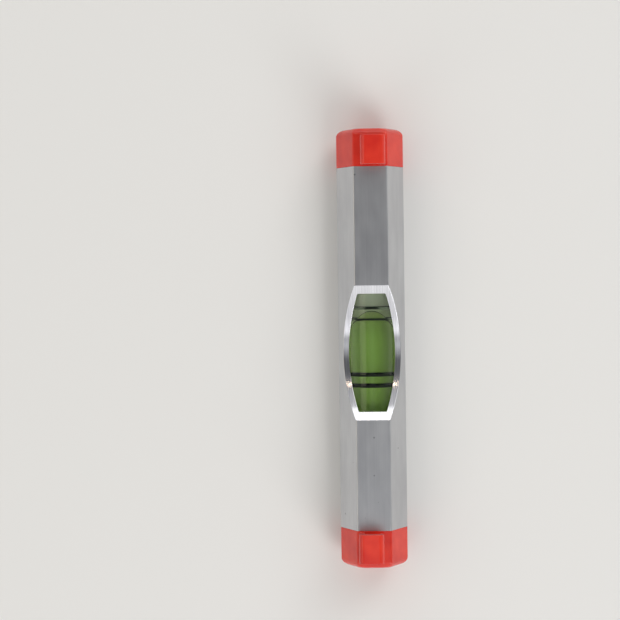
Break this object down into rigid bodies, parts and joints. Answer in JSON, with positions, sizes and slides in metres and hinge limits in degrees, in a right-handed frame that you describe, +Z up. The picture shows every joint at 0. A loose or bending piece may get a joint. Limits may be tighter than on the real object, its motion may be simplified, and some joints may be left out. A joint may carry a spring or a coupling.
{
  "type": "line level",
  "caption": "Hexagonal aluminium line level with a scooped window over a green spirit vial, and a moulded end cap with a line hook at each end.",
  "frame": {"origin": "middle of the length and width, on the face that the level lies on: the middle of the tube's back facet", "axes": "+X runs along the level towards the solid end of the vial, which is the upper end in the picture; +Z is up, towards the window and the hooks; +Y is across the level"},
  "size_m": [0.0762, 0.0116, 0.0136],
  "materials": {
    "tube_aluminium": "satin anodised, milled bright in the window",
    "cap_plastic": "glossy moulded",
    "vial_acrylic": "clear, polished",
    "vial_spirit": "clear green liquid",
    "vial_air": "clear",
    "ring_ink": "matt black",
    "setting_cement": "matt, off-white"
  },
  "bodies": {
    "level": {"body_tube": "tube_aluminium", "end_cap_right": "cap_plastic", "end_cap_left": "cap_plastic", "vial_barrel": "vial_acrylic", "vial_end_plug": "vial_acrylic", "vial_fluid": "vial_spirit", "sight_ring_1": "ring_ink", "sight_ring_2": "ring_ink", "sight_ring_3": "ring_ink", "sight_ring_4": "ring_ink", "vial_cement_right": "setting_cement", "vial_cement_left": "setting_cement"},
    "bubble": {"vial_bubble": "vial_air"}
  },
  "joints": [
    {"name": "bubble_travel", "type": "slide", "parent": "level", "child": "bubble", "axis": [1, 0, 0], "range_m": [0, 0.0158], "deforming": ["vial_fluid"]}
  ]
}
